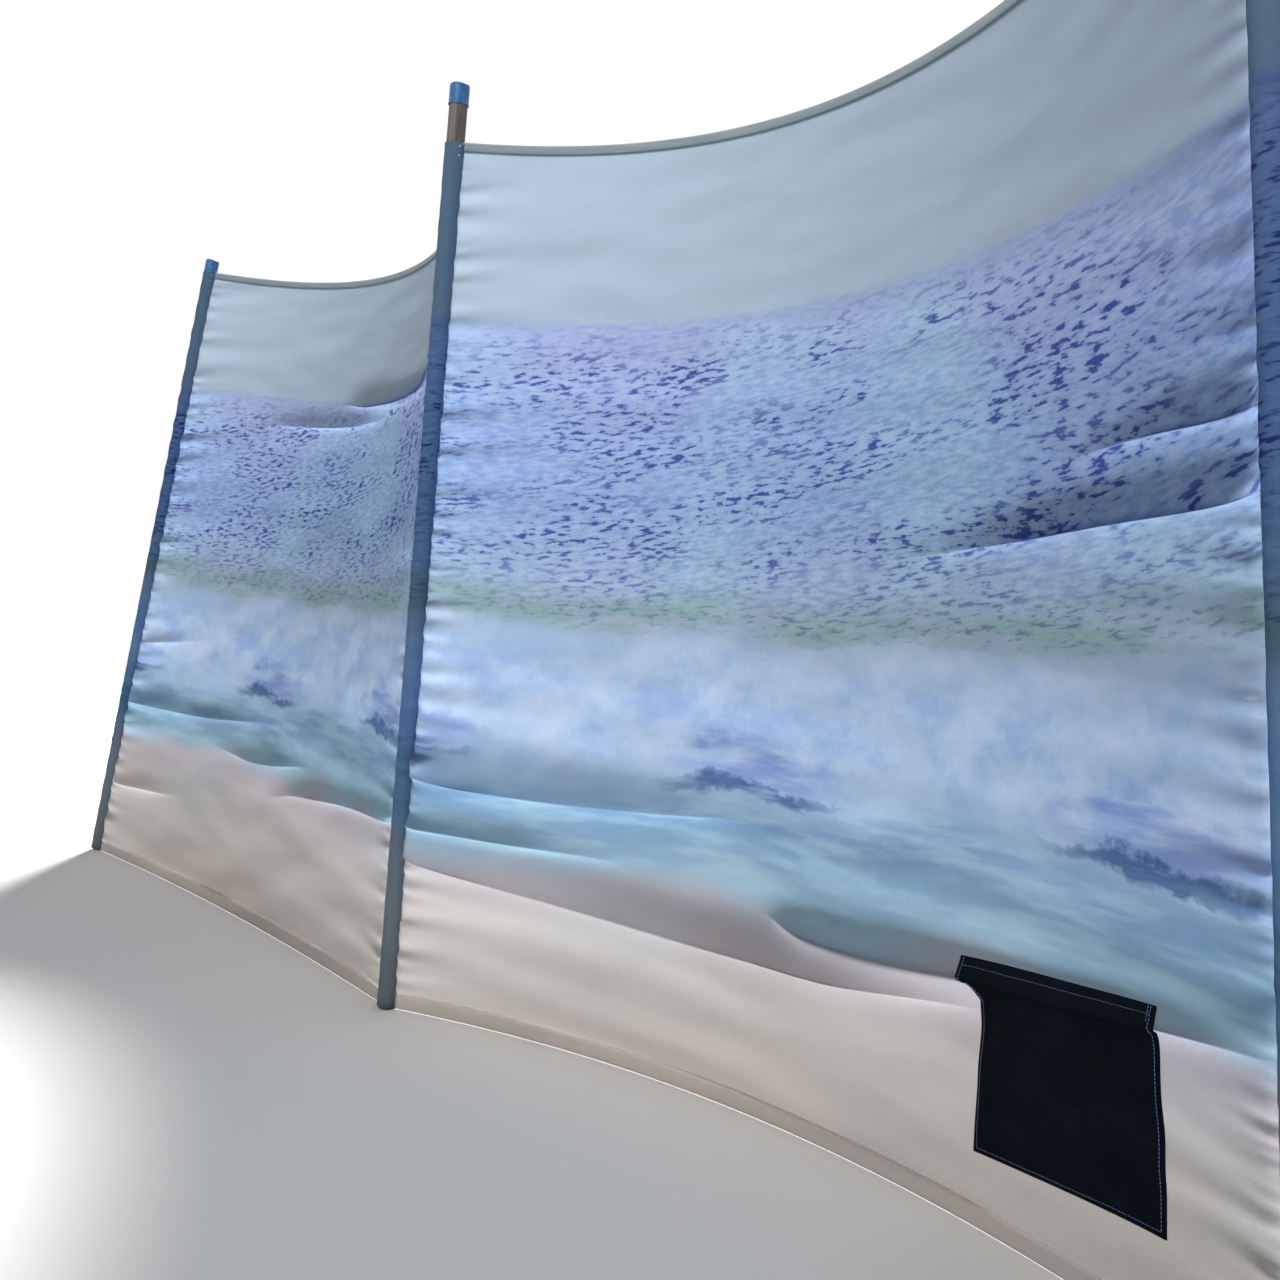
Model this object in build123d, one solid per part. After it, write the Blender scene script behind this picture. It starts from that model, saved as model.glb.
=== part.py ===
from build123d import *
import math
import os

# Beach windbreak, in millimetres and degrees. The row runs along X, Z is up,
# and the origin is the ground face of the middle pole. Wind from the front,
# the -Y side, bellies every bay of cloth back and pulls the poles over.

# The row, from the first pole at the left to the last at the right
bay_length = 1180.0       # pole to pole, along the ground
bay_turn = 3.0            # how much the row swings round at each pole
lean_along = (6.0, 3.5, -3.5, -2.5, -5.0)     # each pole's lean along X
lean_across = (10.0, 3.5, -1.0, 2.5, 8.0)     # each pole's lean along Y
pole_reach = (1206.0, 1226.0, 1216.0, 1222.0, 1210.0)  # cap tops above the ground
slip = (0.0, 49.0, 9.0, 30.0, 4.0)            # how far each sleeve has slid down

# The cloth of each bay
belly_top = (200.0, 180.0, 170.0, 190.0)      # how far the top edge bows back
belly_hem = (20.0, 110.0, 60.0, 35.0)         # how far the hem bows back
sag = (54.0, 51.0, 46.0, 50.0)                # how far the top edge dips
cloth_thickness = 2.5
strips = 12               # the flat strips that each bay's bow is drawn with
ground_gap = 1.5          # from the ground up to the hem's folded edge
binding_width = 12.0      # the tape folded over the top edge
hem_width = 25.0          # the hem turned up along the ground
tape_thickness = 1.0
tape_gap = 0.3            # between the cloth and a tape folded round it
seam_gap = 0.3            # between the cloth and a sleeve

# The poles, their sleeves and their caps
pole_diameter = 24.0
sleeve_slack = 0.4        # between the wood and the sleeve, all round
sleeve_wall = 1.1
sleeve_lift = 4.0         # the sleeve's lower edge above the ground
cap_length = 27.0
cap_wall = 0.9
cap_roof = 1.4
cap_slack = 0.1
cap_bevel = 1.2
rim_height = 2.5          # the bead round the cap's mouth
rim_proud = 0.5

# The pocket on the front of one bay
pocket_inset = 126.0      # from the pocket's right side to the bay's right pole
pocket_width = 200.0
pocket_base = 72.0        # the lower left corner above the ground
pocket_depth = 152.0
pocket_tilt = 4.0
pocket_cloth = 3.0
flap_width = 218.0
flap_height = 24.0
flap_thickness = 7.0
flap_rounding = 2.5
flap_overlap = 12.0       # how far the flap stands past the pocket's right side
pocket_gap = 0.3          # between the pocket, its flap and the bay's cloth

# Sizes that follow from those above
pole_radius = pole_diameter / 2
sleeve_bore = pole_radius + sleeve_slack
sleeve_radius = sleeve_bore + sleeve_wall
cap_bore = pole_radius + cap_slack
cap_radius = cap_bore + cap_wall
pole_count = len(lean_along)
middle_pole = (pole_count + 1) // 2                # the pole that stands on the origin
bay_count = pole_count - 1
side_reach = 3 * max(belly_top) + bay_length / 2   # past the cloth to either side
end_reach = bay_length / 8                         # past the poles at a bay's ends
below = cap_length                                 # past the ground before it is cut
pocket_bay = middle_pole - 1                       # the bay left of the middle pole
pocket_start = bay_length - pocket_inset - pocket_width


def heading(bay):
    """The bay's direction in plan, even about the middle pole."""
    return (bay - middle_pole + 0.5) * bay_turn


def chord(bay):
    return Vector(1, 0, 0).rotate(Axis.Z, heading(bay))


def foot(pole):
    """Where a pole stands, counted out from the middle pole bay by bay."""
    place = Vector(0, 0, 0)
    for bay in range(middle_pole, pole):
        place += chord(bay) * bay_length
    for bay in range(pole, middle_pole):
        place -= chord(bay) * bay_length
    return place


def rise(pole):
    """The pole's direction for each millimetre of height."""
    along = math.tan(math.radians(lean_along[pole - 1]))
    across = math.tan(math.radians(lean_across[pole - 1]))
    return Vector(along, across, 1)


def at_height(pole, height):
    return foot(pole) + rise(pole) * height


def cloth_top(pole):
    """The height of the sleeve's upper edge: under the cap, less what it slid."""
    level = rise(pole).normalized().Z
    return pole_reach[pole - 1] - (cap_length + slip[pole - 1]) * level


def along_pole(pole, height):
    """A plane square to the pole, centred on it at a height."""
    side = rise(pole).cross(Vector(0, 1, 0))
    return Plane(at_height(pole, height), x_dir=-side, z_dir=rise(pole))


def above(solid, height):
    return solid.split(Plane.XY.offset(height), keep=Keep.TOP)


def rod(pole, radius, low, high):
    """A round bar about the pole's axis, from one height to another."""
    length = rise(pole).length * (high - low)
    bar = extrude(Circle(radius), amount=length)
    return along_pole(pole, low) * bar


def make_pole(pole):
    wood_top = pole_reach[pole - 1] - cap_roof * rise(pole).normalized().Z
    return above(rod(pole, pole_radius, -below, wood_top), 0)


def make_sleeve(pole):
    top = cloth_top(pole)
    tube = rod(pole, sleeve_radius, -below, top)
    bore = rod(pole, sleeve_bore, -2 * below, top + below)
    return above(tube - bore, sleeve_lift)


def make_cap(pole):
    """A moulded cup with a bead round its mouth, turned upside down over the pole."""
    bead_top = rim_height - cap_length
    profile = Polyline(
        (0, 0),
        (cap_radius - cap_bevel, 0),
        (cap_radius, -cap_bevel),
        (cap_radius, bead_top),
        (cap_radius + rim_proud, bead_top),
        (cap_radius + rim_proud, -cap_length),
        (cap_bore, -cap_length),
        (cap_bore, -cap_roof),
        (0, -cap_roof),
        close=True,
    )
    cup = revolve(Plane.XZ * make_face(profile), axis=Axis.Z)
    return along_pole(pole, pole_reach[pole - 1]) * cup


def bow_at(bay, height):
    """The bay's bow at a height, in line from the hem to the top edge."""
    left, right = cloth_top(bay), cloth_top(bay + 1)
    share = height / ((left + right) / 2)
    return belly_hem[bay - 1] + share * (belly_top[bay - 1] - belly_hem[bay - 1])


def curtain(bay, front, back):
    """The bay's bowed sheet between two depths, from the ground to above its top.

    Each end section lies between two arcs from pole to pole, in straight strips.
    """
    normal = chord(bay).rotate(Axis.Z, 90)
    ceiling = max(cloth_top(bay), cloth_top(bay + 1)) + binding_width
    sections = []
    for height in (0, ceiling):
        start, end = at_height(bay, height), at_height(bay + 1, height)
        crown = (start + end) / 2 + normal * bow_at(bay, height)
        arc = ThreePointArc(start, crown, end)
        bow = [arc @ (step / strips) for step in range(strips + 1)]
        near = [point + normal * front for point in bow]
        far = [point + normal * back for point in reversed(bow)]
        sections.append(make_face(Polyline(*near, *far, close=True)))
    return loft(sections, ruled=True)


def elevation(bay, outline):
    """A prism through the bay, of an outline drawn along its chord and height."""
    plane = Plane(foot(bay), x_dir=chord(bay), z_dir=-chord(bay).rotate(Axis.Z, 90))
    return extrude(plane * outline, amount=side_reach, both=True)


def under_top_edge(bay, lift):
    """All that lies below the bay's sagging top edge, raised by a lift."""
    corners = []
    for pole in (bay, bay + 1):
        top = at_height(pole, cloth_top(pole)) - foot(bay)
        corners.append((top.dot(chord(bay)), top.Z + lift))
    (left, left_top), (right, right_top) = corners
    dip = ((left + right) / 2, (left_top + right_top) / 2 - sag[bay - 1])
    edge = ThreePointArc(corners[0], dip, corners[1])
    frame = Polyline(
        corners[1],
        (right + end_reach, right_top),
        (right + end_reach, -end_reach),
        (left - end_reach, -end_reach),
        (left - end_reach, left_top),
        corners[0],
    )
    return elevation(bay, make_face(edge + frame))


def clear_of_sleeves(bay, solid):
    for pole in (bay, bay + 1):
        solid -= rod(pole, sleeve_radius + seam_gap, -2 * below, pole_reach[pole - 1])
    return solid


def cloth(bay, room):
    """The bay's cloth, swollen by some room on every side but its ends."""
    half = cloth_thickness / 2 + room
    sheet = curtain(bay, -half, half) & under_top_edge(bay, room)
    return above(sheet, ground_gap + tape_thickness + tape_gap - room)


def make_panel(bay):
    return clear_of_sleeves(bay, cloth(bay, 0))


def folded_tape(bay, strip):
    """A tape folded round the cloth's edge, cut from a strip of thicker cloth."""
    return clear_of_sleeves(bay, strip - cloth(bay, tape_gap))


def make_binding(bay):
    half = cloth_thickness / 2 + tape_gap + tape_thickness
    band = curtain(bay, -half, half) & under_top_edge(bay, tape_gap + tape_thickness)
    return folded_tape(bay, band - under_top_edge(bay, -binding_width))


def make_hem(bay):
    half = cloth_thickness / 2 + tape_gap + tape_thickness
    band = above(curtain(bay, -half, half), ground_gap)
    return folded_tape(bay, band.split(Plane.XY.offset(hem_width), keep=Keep.BOTTOM))


def make_pocket():
    """A patch that follows the cloth's bow, tilted as it hangs."""
    face = -cloth_thickness / 2 - pocket_gap
    outline = Rectangle(pocket_width, pocket_depth, align=(Align.MIN, Align.MIN))
    placed = Pos(pocket_start, pocket_base) * Rot(0, 0, pocket_tilt) * outline
    return curtain(pocket_bay, face - pocket_cloth, face) & elevation(pocket_bay, placed)


def make_flap():
    """The rolled band along the pocket's top, wider than the pocket."""
    face = -cloth_thickness / 2 - pocket_gap
    outline = RectangleRounded(flap_width, flap_height, flap_rounding)
    right = pocket_width - flap_overlap
    centre = Pos(right - flap_width / 2, pocket_depth + pocket_gap + flap_height / 2)
    placed = Pos(pocket_start, pocket_base) * Rot(0, 0, pocket_tilt) * centre * outline
    return curtain(pocket_bay, face - flap_thickness, face) & elevation(pocket_bay, placed)


os.makedirs("parts", exist_ok=True)
for number in range(1, pole_count + 1):
    export_step(make_pole(number), f"parts/pole_{number}.step")
    export_step(make_sleeve(number), f"parts/sleeve_{number}.step")
    export_step(make_cap(number), f"parts/pole_cap_{number}.step")
for number in range(1, bay_count + 1):
    export_step(make_panel(number), f"parts/panel_{number}.step")
    export_step(make_binding(number), f"parts/top_binding_{number}.step")
    export_step(make_hem(number), f"parts/bottom_hem_{number}.step")
export_step(make_pocket(), "parts/pocket.step")
export_step(make_flap(), "parts/pocket_flap.step")
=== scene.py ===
import math
import bpy
import numpy as np
from mathutils import Matrix


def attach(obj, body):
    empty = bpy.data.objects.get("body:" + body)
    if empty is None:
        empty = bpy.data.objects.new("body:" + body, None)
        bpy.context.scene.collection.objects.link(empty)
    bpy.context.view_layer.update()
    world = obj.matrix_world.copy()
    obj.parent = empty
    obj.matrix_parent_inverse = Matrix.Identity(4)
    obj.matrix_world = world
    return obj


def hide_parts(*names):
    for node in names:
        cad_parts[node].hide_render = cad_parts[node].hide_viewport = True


# A beach windbreak of four printed cloth bays on capped wooden poles.
# Lengths are metres. The row runs along X, Z is up, and the cloth bellies
# towards +Y, away from the camera. Poles and bays are counted from the left,
# from 1, and a place on a bay is given by its share of the way across (0 to 1)
# and its height.

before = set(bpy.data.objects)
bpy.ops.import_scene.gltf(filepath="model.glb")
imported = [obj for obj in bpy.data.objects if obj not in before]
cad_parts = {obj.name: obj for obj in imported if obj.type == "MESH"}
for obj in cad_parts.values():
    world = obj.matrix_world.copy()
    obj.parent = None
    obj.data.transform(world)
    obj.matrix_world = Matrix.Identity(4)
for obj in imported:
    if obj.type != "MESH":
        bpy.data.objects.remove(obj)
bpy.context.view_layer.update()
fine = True

# The row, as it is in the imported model
POLES = 5
BAYS = POLES - 1
BAY_LENGTH = 1.18                          # from pole to pole
BELLY_TOP = (0.200, 0.180, 0.170, 0.190)   # how far each top edge bows back
BELLY_HEM = (0.020, 0.110, 0.060, 0.035)   # how far each hem bows back
SAG = (0.054, 0.051, 0.046, 0.050)         # how far each top edge dips
SLANT = (0.00, 0.22, 0.10, 0.16)           # how steeply each bay's slack runs down to the right
CLOTH_CUT = 1.20                           # the cloth's height before it was hung
PRINT_WIDTH = 1.22                         # how much of the print's length a bay carries
CLOTH_THICK = 0.0006
HEM_LIFT = 0.0014                          # the hem's fold above the ground
BINDING_WIDTH = 0.010
HEM_WIDTH = 0.022
SLEEVE_RADIUS = 0.0135
SLEEVE_WALL = 0.0008
SLEEVE_LIFT = 0.004                        # the sleeve's lower edge above the ground
SLEEVE_CREASES = (0.327, 0.252)            # heights at which every sleeve creases
SEAM_IN = 0.0016                           # how deep a bay's edge lies in the sleeve's skin
SEAM_INSET = 0.0022                        # the seam's stitches from a bay's edge, as a share
TACK_INSET = 0.0034                        # the tape's end tacks, the same way
WOOD_RADIUS = 0.012
CAP_RADIUS = 0.0130
CAP_ROUNDING = 0.0024                      # round the edge of the cap's crown
CAP_ROOF = 0.0014                          # from the wood's end up to the crown
# the cap under its rounded edge, outside and inside: (radius, height from the crown)
CAP_OUTSIDE = ((0.01302, -0.010), (0.01305, -0.0240), (0.0133, -0.0245), (0.0135, -0.0249),
               (0.0135, -0.0265), (0.0133, -0.0270), (0.01215, -0.0270), (0.01210, -0.0262))
CAP_INSIDE = ((0.01205, -0.012), (0.01205, -0.0014), (0.0004, -0.0014))

# The photograph's camera
CAMERA_PLACE = (0.264, -0.9433, 0.6317)
CAMERA_HEADING = 44.617                    # degrees to the left of +Y
CAMERA_PITCH = -4.2318
CAMERA_ROLL = 0.3304
CAMERA_SENSOR = 36.0                       # and the lens is as long as this is wide


# Where the poles stand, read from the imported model

def ring_centre(node, low, high):
    """The middle of the box round a node's corners between two heights."""
    corners = np.array([v.co[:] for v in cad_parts[node].data.vertices])
    picked = corners[(corners[:, 2] >= low) & (corners[:, 2] <= high)]
    return (picked.min(0) + picked.max(0)) / 2


def pole_line(pole):
    """A pole's foot, its direction for each metre of height, and its cloth's top."""
    foot = ring_centre(f"pole_{pole}", -0.001, 0.001)
    head = ring_centre(f"pole_{pole}", 1.0, 2.0)
    rise = (head - foot) / (head[2] - foot[2])
    top = ring_centre(f"sleeve_{pole}", 1.0, 2.0)[2]
    return foot, rise, top


LINES = [None] + [pole_line(pole) for pole in range(1, POLES + 1)]


def on_pole(pole, height):
    """Points on a pole's axis at some heights: its foot + height * rise."""
    foot, rise, _ = LINES[pole]
    return foot + np.multiply.outer(height, rise)


def smooth_step(value, low, high):
    """Zero below low, one above high, and 3 t^2 - 2 t^3 between."""
    share = np.clip((value - low) / (high - low), 0, 1)
    return share * share * (3 - 2 * share)


def bump(value, middle, width):
    """A bell of height one: exp(-((value - middle) / width)^2)."""
    return np.exp(-((value - middle) / width) ** 2)


def waves(points, count, seed, low, high, stretch=(1.0, 1.0)):
    """Soft noise: the sum of sines of random direction, length and phase.

    points are across and up in metres, low and high the wavelengths' range, and
    stretch draws the waves out across and up. The sum is divided by the root of
    their count.
    """
    random = np.random.default_rng(seed)
    across, up = points
    total = np.zeros_like(across)
    for _ in range(count):
        turn = random.uniform(0, 2 * np.pi)
        length = random.uniform(low, high)
        phase = random.uniform(0, 2 * np.pi)
        way = np.cos(turn) * across / stretch[0] + np.sin(turn) * up / stretch[1]
        total += np.sin(2 * np.pi * way / length + phase)
    return total / np.sqrt(count)


# The shape of the cloth

def through(knots, share):
    """A smooth curve through (share of the bay, height) knots.

    Between two knots it is a cubic, and its slope at a knot is that of the
    line between the knot's neighbours.
    """
    place, height = np.array(knots, float).T
    slope = np.gradient(height, place)
    piece = np.clip(np.searchsorted(place, share, side="right") - 1, 0, len(place) - 2)
    step = place[piece + 1] - place[piece]
    t = np.clip((share - place[piece]) / step, 0, 1)
    leave = (1 + 2 * t) * (1 - t) ** 2 * height[piece] + t * (1 - t) ** 2 * step * slope[piece]
    reach = t * t * (3 - 2 * t) * height[piece + 1] + t * t * (t - 1) * step * slope[piece + 1]
    return leave + reach


# Lines across each bay, from the lowest up, that rows of the mesh follow. The
# folds on a line are (start, end, fade at the start, fade at the end, depth,
# droop, reach above, reach below), the first four in shares of the bay.
FOLDS = {
    1: [
        ([(0.00, 0.147), (0.12, 0.149), (0.20, 0.148), (0.36, 0.165), (0.52, 0.195),
          (0.62, 0.219), (0.82, 0.245), (1.00, 0.257)],
         [(0.00, 0.17, 0.02, 0.10, 0.013, 0.004, 0.022, 0.007),
          (0.62, 1.00, 0.12, 0.01, 0.012, 0.005, 0.019, 0.008)]),
        ([(0.00, 0.276), (0.26, 0.259), (0.46, 0.251), (0.60, 0.262), (0.80, 0.290),
          (1.00, 0.310)],
         [(0.38, 0.60, 0.09, 0.06, 0.008, 0.003, 0.016, 0.007)]),
        ([(0.00, 0.313), (0.26, 0.305), (0.45, 0.314), (0.75, 0.332), (1.00, 0.352)],
         [(0.00, 0.38, 0.02, 0.16, 0.011, 0.004, 0.020, 0.008)]),
        ([(0.00, 0.430), (0.12, 0.436), (0.26, 0.446), (0.60, 0.460), (1.00, 0.470)],
         [(0.00, 0.11, 0.02, 0.10, 0.010, 0.003, 0.018, 0.007)]),
        ([(0.00, 0.862), (0.25, 0.858), (0.45, 0.843), (0.70, 0.838), (1.00, 0.840)],
         [(0.26, 0.57, 0.09, 0.06, 0.012, 0.005, 0.022, 0.008)]),
        ([(0.00, 0.905), (0.41, 0.884), (0.55, 0.873), (0.70, 0.867), (0.85, 0.866),
          (1.00, 0.868)],
         [(0.48, 1.00, 0.08, 0.01, 0.020, 0.008, 0.030, 0.008)]),
    ],
    2: [
        ([(0.00, 0.224), (0.11, 0.208), (0.22, 0.195), (0.39, 0.186), (0.53, 0.188),
          (0.66, 0.199), (0.80, 0.213), (1.00, 0.226)],
         [(0.00, 0.66, 0.01, 0.10, 0.027, 0.009, 0.040, 0.009)]),
        ([(0.00, 0.260), (0.15, 0.254), (0.30, 0.246), (0.46, 0.228), (0.56, 0.226),
          (0.66, 0.232), (0.73, 0.240), (0.82, 0.251), (0.90, 0.262), (1.00, 0.273)],
         [(0.00, 0.22, 0.01, 0.10, 0.016, 0.004, 0.024, 0.007),
          (0.51, 0.93, 0.04, 0.12, 0.024, 0.004, 0.016, 0.009)]),
        ([(0.00, 0.330), (0.10, 0.320), (0.31, 0.318), (0.45, 0.324), (0.75, 0.336),
          (1.00, 0.350)],
         [(0.00, 0.36, 0.01, 0.14, 0.026, 0.006, 0.045, 0.009)]),
        ([(0.00, 0.580), (0.40, 0.597), (0.62, 0.620), (0.72, 0.637), (0.825, 0.656),
          (0.925, 0.668), (1.00, 0.676)],
         [(0.72, 1.00, 0.12, 0.01, 0.023, 0.012, 0.024, 0.012)]),
        ([(0.00, 0.655), (0.40, 0.677), (0.79, 0.704), (0.90, 0.725), (1.00, 0.734)],
         [(0.88, 1.00, 0.10, 0.01, 0.021, 0.010, 0.020, 0.010)]),
    ],
    3: [
        ([(0.00, 0.215), (0.20, 0.190), (0.45, 0.175), (0.75, 0.196), (1.00, 0.226)],
         [(0.00, 1.00, 0.02, 0.01, 0.030, 0.007, 0.050, 0.009)]),
        ([(0.00, 0.300), (0.40, 0.300), (0.70, 0.318), (1.00, 0.340)],
         [(0.66, 1.00, 0.14, 0.01, 0.020, 0.006, 0.045, 0.009)]),
        ([(0.00, 0.672), (0.20, 0.628), (0.42, 0.604), (0.70, 0.610), (1.00, 0.640)],
         [(0.00, 0.34, 0.01, 0.14, 0.030, 0.010, 0.050, 0.009)]),
        ([(0.00, 0.740), (0.20, 0.715), (0.50, 0.700), (1.00, 0.720)],
         [(0.00, 0.16, 0.01, 0.10, 0.016, 0.005, 0.030, 0.008)]),
    ],
    4: [
        ([(0.00, 0.195), (0.30, 0.176), (0.65, 0.166), (0.85, 0.186), (1.00, 0.216)],
         [(0.38, 1.00, 0.14, 0.01, 0.030, 0.007, 0.050, 0.009)]),
        ([(0.00, 0.332), (0.20, 0.304), (0.46, 0.300), (1.00, 0.320)],
         [(0.00, 0.40, 0.02, 0.16, 0.022, 0.006, 0.045, 0.009)]),
        ([(0.00, 0.830), (0.60, 0.856), (0.80, 0.870), (1.00, 0.896)],
         [(0.64, 1.00, 0.14, 0.01, 0.024, 0.008, 0.045, 0.009)]),
    ],
}


FALL_BACK = 0.06          # under a fold, the last of its depth goes over this
LIP = 0.004               # under a fold, its droop goes over this
HIDDEN = 2.2              # how much of the print a fold hides, in droops
HIDDEN_REACH = 0.12       # above a fold, the print comes back to its place over this


def along_fold(across, start, end, fade_in, fade_out):
    """One along a fold, and zero past its ends."""
    fade = smooth_step(across, start - fade_in, start + fade_in)
    return fade * (1 - smooth_step(across, end - fade_out, end + fade_out))


def fold(across, gap, start, end, fade_in, fade_out, depth, droop, above, below):
    """A ridge where the cloth hangs over itself: how far it stands out and droops.

    Over its line the cloth comes forward on an even slope that starts softly,
    log(1 + exp(4 - 4 * gap / above)). Under the line 0.72 of it falls back as
    exp(gap / below), and the rest as exp(gap / FALL_BACK). The ridge's lower
    edge also droops, so that it hides the cloth just under it.
    """
    fade = along_fold(across, start, end, fade_in, fade_out)
    over, under = np.maximum(gap, 0), np.maximum(-gap, 0)
    shelf = np.log1p(np.exp(4 - 4 * over / above)) / np.log1p(np.exp(4))
    out = shelf * (0.72 * np.exp(-under / below) + 0.28 * np.exp(-under / FALL_BACK))
    down = np.exp(-over / (0.5 * above) - under / LIP)
    return fade * depth * out, fade * droop * down


def tucked(bay, across, height):
    """How much further up its print the cloth is, over the folds that hide some of it.

    Over each fold's line it is HIDDEN times the droop, and dies away upwards as
    exp(-gap / HIDDEN_REACH). Under the line it is nothing, so what the fold
    hides is missing.
    """
    total = np.zeros_like(across)
    for knots, folds in FOLDS[bay]:
        gap = height - through(knots, across)
        for start, end, fade_in, fade_out, _, droop, _, _ in folds:
            hidden = HIDDEN * droop * np.exp(-np.maximum(gap, 0) / HIDDEN_REACH)
            over = np.where(gap > -0.0005, hidden, 0)
            total += along_fold(across, start, end, fade_in, fade_out) * over
    return total


# What gathers the cloth into its seams, from wide creases to fine: (spacing,
# reach from the seam, depth)
GATHERS = ((0.044, 0.110, 0.0072), (0.024, 0.042, 0.0084), (0.0130, 0.013, 0.0066))


def off_seams(across, reach):
    """Zero at a bay's two seams and one away from them: 1 - exp(-distance / reach)."""
    return 1 - np.exp(-np.minimum(across, 1 - across) * BAY_LENGTH / reach)


def gathers(away, height, seed, spacing, reach, depth):
    """Level creases where the cloth is gathered into a seam.

    Each is a bell across its height that widens and dies away from the seam as
    exp(-away / reach).
    """
    random = np.random.default_rng(seed)
    total = np.zeros_like(away)
    level = 0.02 + spacing * random.uniform(0, 1)
    while level < 1.15:
        long = reach * random.uniform(0.4, 1.6)
        slant = random.uniform(-0.10, 0.10)
        wide = spacing * random.uniform(0.25, 0.36) + 0.08 * away
        size = depth * random.uniform(0.35, 1.0)
        total += size * bump(height, level + slant * away, wide) * np.exp(-away / long)
        level += spacing * random.uniform(0.65, 1.4)
    return total


def creases(bay, across, height):
    """Everything that ruffles a bay's cloth but the big folds.

    The gathers at the two seams, less long and short waves between them. The
    waves run down to the right by the bay's slant, die out at the seams as
    tanh(10 * share), and are deepest a little above the hem, where cloth hangs
    slackest.
    """
    total = np.zeros_like(across)
    for side, away in enumerate((across * BAY_LENGTH, (1 - across) * BAY_LENGTH)):
        for number, sizes in enumerate(GATHERS, 1):
            total += gathers(away, height, 100 * bay + 10 * side + number, *sizes)
    middle = np.tanh(across * 10) * np.tanh((1 - across) * 10)
    slack = 0.30 + 0.9 * bump(height, 0.14, 0.26)
    slanted = (across * BAY_LENGTH, height + SLANT[bay - 1] * across * BAY_LENGTH)
    long = waves(slanted, 6, seed=7 * bay, low=0.30, high=0.62, stretch=(2.4, 0.8))
    short = waves(slanted, 7, seed=7 * bay + 3, low=0.06, high=0.15, stretch=(3.6, 0.7))
    ripple = middle * slack * (0.0036 * long + 0.0016 * short)
    return total * off_seams(across, 0.007) - ripple


def top_edge(bay, across):
    """The height of a bay's top edge: a line from sleeve to sleeve less a parabola."""
    left, right = LINES[bay][2], LINES[bay + 1][2]
    return left + (right - left) * across - SAG[bay - 1] * 4 * across * (1 - across)


def bay_surface(bay, across, height):
    """The cloth of a bay: across is 0 to 1 from pole to pole, height is in metres.

    The cloth lies on the line between the two poles at its height, pushed back
    by the parabola 4 * belly * place * (1 - place), whose belly grows in line
    from the hem to the top edge. The folds and creases then stand out in front
    of it, less so near the top edge and the ground, as tanh(distance / 50 mm).
    """
    start, end = on_pole(bay, height), on_pole(bay + 1, height)
    chord = end - start
    span = np.sqrt(chord[..., 0] ** 2 + chord[..., 1] ** 2)
    share = height / ((LINES[bay][2] + LINES[bay + 1][2]) / 2)
    belly = BELLY_HEM[bay - 1] + share * (BELLY_TOP[bay - 1] - BELLY_HEM[bay - 1])
    # the cloth begins on the sleeve's skin and not on the pole's axis
    trim = (SLEEVE_RADIUS - SEAM_IN) / np.sqrt(span ** 2 + 16 * belly ** 2)
    place = trim + across * (1 - 2 * trim)
    base = LINES[bay + 1][0] - LINES[bay][0]
    back = np.array([-base[1], base[0], 0]) / np.hypot(base[0], base[1])
    push = belly * 4 * place * (1 - place)
    out, down = creases(bay, across, height), np.zeros_like(push)
    held = off_seams(across, 0.015)
    for knots, folds in FOLDS[bay]:
        gap = height - through(knots, place)
        for sizes in folds:
            forward, droop = fold(place, gap, *sizes)
            out += forward * held
            down += droop * held
    # the edges are stiffer: the binding at the top and the hem along the ground
    stiff = 0.05
    calm = np.tanh((top_edge(bay, across) - height) / stiff) * np.tanh(height / stiff)
    points = start + place[..., None] * chord + (push - out * calm)[..., None] * back
    points[..., 2] -= down * calm
    return points


# Meshes

def in_scene(name, data):
    """A new object with this data, linked into the scene."""
    thing = bpy.data.objects.new(name, data)
    bpy.context.scene.collection.objects.link(thing)
    return thing


def surface(name, points, uv, material, wrap=False, caps=False):
    """A grid of points as one smooth skin, with the grid's place on the cloth as UV.

    wrap joins its last column to its first, and caps closes its first and last
    rows.
    """
    rows, columns = points.shape[:2]
    steps = columns if wrap else columns - 1
    row, column = np.meshgrid(np.arange(rows - 1), np.arange(steps), indexing="ij")
    after = (column + 1) % columns
    quads = [row * columns + column, row * columns + after,
             (row + 1) * columns + after, (row + 1) * columns + column]
    faces = np.stack(quads, -1).reshape(-1, 4).tolist()
    corners = np.stack([uv[row, column], uv[row, column + 1],
                        uv[row + 1, column + 1], uv[row + 1, column]], 2).reshape(-1, 2)
    if caps:
        ends = [np.arange(columns)[::-1], (rows - 1) * columns + np.arange(columns)]
        faces += [end.tolist() for end in ends]
        corners = np.concatenate([corners, uv[0, :columns][::-1], uv[-1, :columns]])
    mesh = bpy.data.meshes.new(name)
    mesh.from_pydata(points.reshape(-1, 3), [], faces)
    layer = mesh.uv_layers.new(name="cloth")
    layer.data.foreach_set("uv", corners.astype(np.float32).ravel())
    mesh.polygons.foreach_set("use_smooth", np.ones(len(faces), bool))
    mesh.update()
    mesh.materials.append(material)
    return in_scene(name, mesh)


def thicken(piece, thickness, offset=0.0):
    """Gives a skin its real thickness, with its rim closed. Offset -1 grows inwards."""
    wall = piece.modifiers.new("thickness", "SOLIDIFY")
    wall.thickness = thickness
    wall.offset = offset
    wall.use_even_offset = False


def unit(vectors):
    """The same directions, each one metre long."""
    return vectors / np.linalg.norm(vectors, axis=-1, keepdims=True)


def walked_along(path):
    """How far along a path each of its points lies."""
    return np.concatenate([[0], np.cumsum(np.linalg.norm(np.diff(path, axis=0), axis=1))])


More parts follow.
